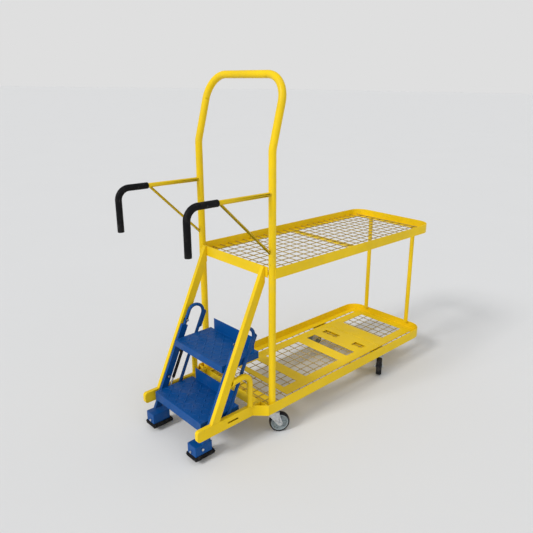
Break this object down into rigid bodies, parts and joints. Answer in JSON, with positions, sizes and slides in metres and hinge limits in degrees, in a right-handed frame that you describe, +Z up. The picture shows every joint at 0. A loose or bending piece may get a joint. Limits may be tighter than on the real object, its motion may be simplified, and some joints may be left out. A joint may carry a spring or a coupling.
{
  "type": "stock picking trolley",
  "caption": "Yellow two-shelf wire trolley with a tall leaning push hoop, forward grab arms and a blue sprung two-tread step unit on sloping stringers.",
  "frame": {"origin": "middle of the overall box on the floor plane, which is under the castors", "axes": "+X to the user's right when pushing from the front, +Y from the steps back along the shelves, +Z up"},
  "size_m": [0.6042, 1.7094, 1.6698],
  "materials": {
    "yellow_paint": "satin",
    "blue_paint": "satin",
    "black_plastic": "matte",
    "black_rubber": "matte",
    "tyre_rubber": "matte",
    "black_steel": "satin",
    "zinc_steel": "satin",
    "grey_plastic": "matte"
  },
  "bodies": {
    "frame": {"hoop_frame": "yellow_paint", "grab_arm_left": "yellow_paint", "grab_arm_right": "yellow_paint", "arm_brace_left": "yellow_paint", "arm_brace_right": "yellow_paint", "grip_left": "black_plastic", "grip_right": "black_plastic", "upper_rim": "yellow_paint", "upper_front_bar": "yellow_paint", "upper_mesh": "yellow_paint", "upper_cross_bar": "yellow_paint", "rear_post_left": "yellow_paint", "rear_post_right": "yellow_paint", "lower_rim": "yellow_paint", "lower_front_bar": "yellow_paint", "lower_mesh": "yellow_paint", "front_panel": "yellow_paint", "rear_panel": "yellow_paint", "castor_beam_front": "yellow_paint", "castor_beam_rear": "yellow_paint", "base_rail_left": "yellow_paint", "base_rail_right": "yellow_paint", "stringer_left": "yellow_paint", "stringer_right": "yellow_paint", "side_hoop_left": "yellow_paint", "side_hoop_right": "yellow_paint", "strut_rod_left": "zinc_steel", "strut_rod_right": "zinc_steel", "strut_studs": "zinc_steel", "castor_bolts": "zinc_steel", "castor_plates": "zinc_steel"},
    "step_unit": {"step_frame_left": "blue_paint", "step_frame_right": "blue_paint", "upper_tread": "blue_paint", "lower_tread": "blue_paint", "foot_bracket_left": "blue_paint", "foot_bracket_right": "blue_paint", "foot_pad_left": "black_rubber", "foot_pad_right": "black_rubber", "foot_bolts": "zinc_steel", "guide_bolts": "zinc_steel", "guide_washers": "black_plastic", "strut_cylinder_left": "black_steel", "strut_cylinder_right": "black_steel"},
    "swivel_front_left": {"fork_front_left": "zinc_steel", "axle_front_left": "zinc_steel"},
    "wheel_front_left": {"wheel_front_left": "grey_plastic", "tyre_front_left": "tyre_rubber"},
    "swivel_front_right": {"fork_front_right": "zinc_steel", "axle_front_right": "zinc_steel"},
    "wheel_front_right": {"wheel_front_right": "grey_plastic", "tyre_front_right": "tyre_rubber"},
    "swivel_rear_left": {"fork_rear_left": "zinc_steel", "axle_rear_left": "zinc_steel"},
    "wheel_rear_left": {"wheel_rear_left": "grey_plastic", "tyre_rear_left": "tyre_rubber"},
    "swivel_rear_right": {"fork_rear_right": "zinc_steel", "axle_rear_right": "zinc_steel"},
    "wheel_rear_right": {"wheel_rear_right": "grey_plastic", "tyre_rear_right": "tyre_rubber"}
  },
  "joints": [
    {"name": "step_slide", "type": "slide", "parent": "frame", "child": "step_unit", "axis": [0, -0.4156, -0.9095], "range_m": [0, 0.023], "stiffness_N_per_m": 2500, "springref_m": -0.08},
    {"name": "swivel_front_left", "type": "hinge", "parent": "frame", "child": "swivel_front_left", "pos_m": [-0.242, -0.39525, 0.108], "axis": [0, 0, 1], "continuous": true},
    {"name": "wheel_front_left", "type": "hinge", "parent": "swivel_front_left", "child": "wheel_front_left", "pos_m": [-0.26161, -0.36506, 0.05], "axis": [0.8387, 0.5446, 0], "continuous": true},
    {"name": "swivel_front_right", "type": "hinge", "parent": "frame", "child": "swivel_front_right", "pos_m": [0.242, -0.39525, 0.108], "axis": [0, 0, 1], "continuous": true},
    {"name": "wheel_front_right", "type": "hinge", "parent": "swivel_front_right", "child": "wheel_front_right", "pos_m": [0.26161, -0.36506, 0.05], "axis": [-0.8387, 0.5446, 0], "continuous": true},
    {"name": "swivel_rear_left", "type": "hinge", "parent": "frame", "child": "swivel_rear_left", "pos_m": [-0.242, 0.46475, 0.108], "axis": [0, 0, 1], "continuous": true},
    {"name": "wheel_rear_left", "type": "hinge", "parent": "swivel_rear_left", "child": "wheel_rear_left", "pos_m": [-0.26265, 0.43526, 0.05], "axis": [-0.8191, 0.5736, 0], "continuous": true},
    {"name": "swivel_rear_right", "type": "hinge", "parent": "frame", "child": "swivel_rear_right", "pos_m": [0.242, 0.46475, 0.108], "axis": [0, 0, 1], "continuous": true},
    {"name": "wheel_rear_right", "type": "hinge", "parent": "swivel_rear_right", "child": "wheel_rear_right", "pos_m": [0.26265, 0.43526, 0.05], "axis": [0.8191, 0.5736, 0], "continuous": true}
  ]
}
